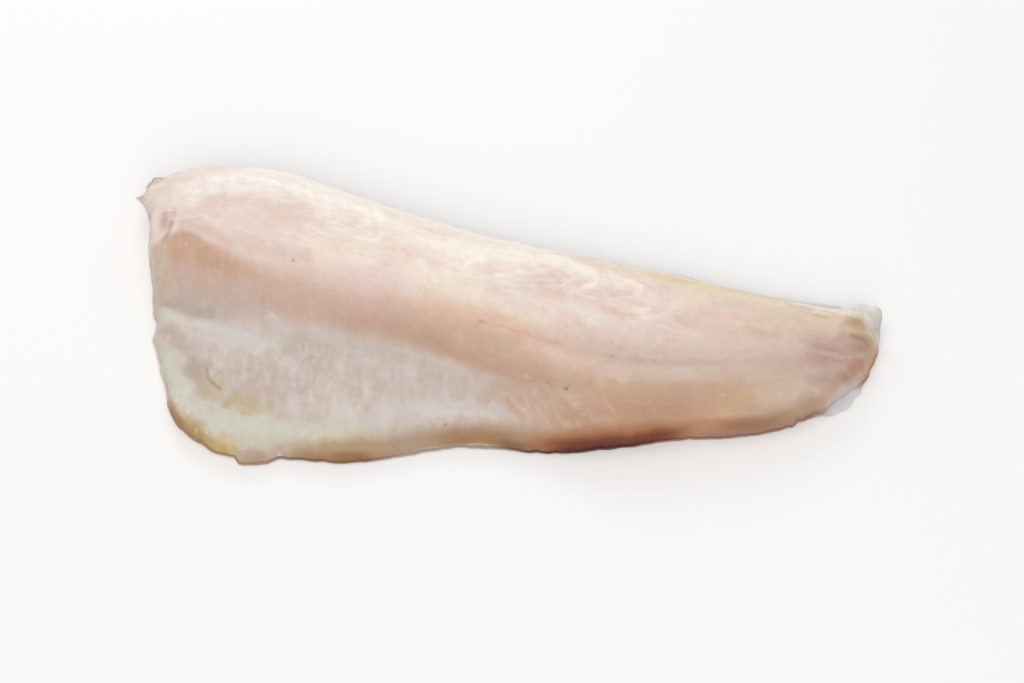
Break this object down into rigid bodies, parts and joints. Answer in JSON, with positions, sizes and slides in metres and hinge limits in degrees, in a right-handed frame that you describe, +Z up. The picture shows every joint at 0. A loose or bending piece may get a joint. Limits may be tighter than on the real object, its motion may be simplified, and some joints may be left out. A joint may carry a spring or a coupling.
{
  "type": "trout fillet",
  "caption": "Skin-on raw trout fillet lying flesh side up: thick back muscle, hollowed belly flap, tapered tail end and thin scaled skin underneath.",
  "frame": {"origin": "middle of the footprint, on the surface the fillet lies on", "axes": "+X from the head end to the tail, +Y from the belly edge to the back edge, +Z up from the skin to the flesh"},
  "size_m": [0.2512, 0.1118, 0.0206],
  "materials": {
    "flesh": "satin",
    "skin": "satin"
  },
  "bodies": {
    "root": {"flesh": "flesh", "skin": "skin"}
  },
  "joints": []
}
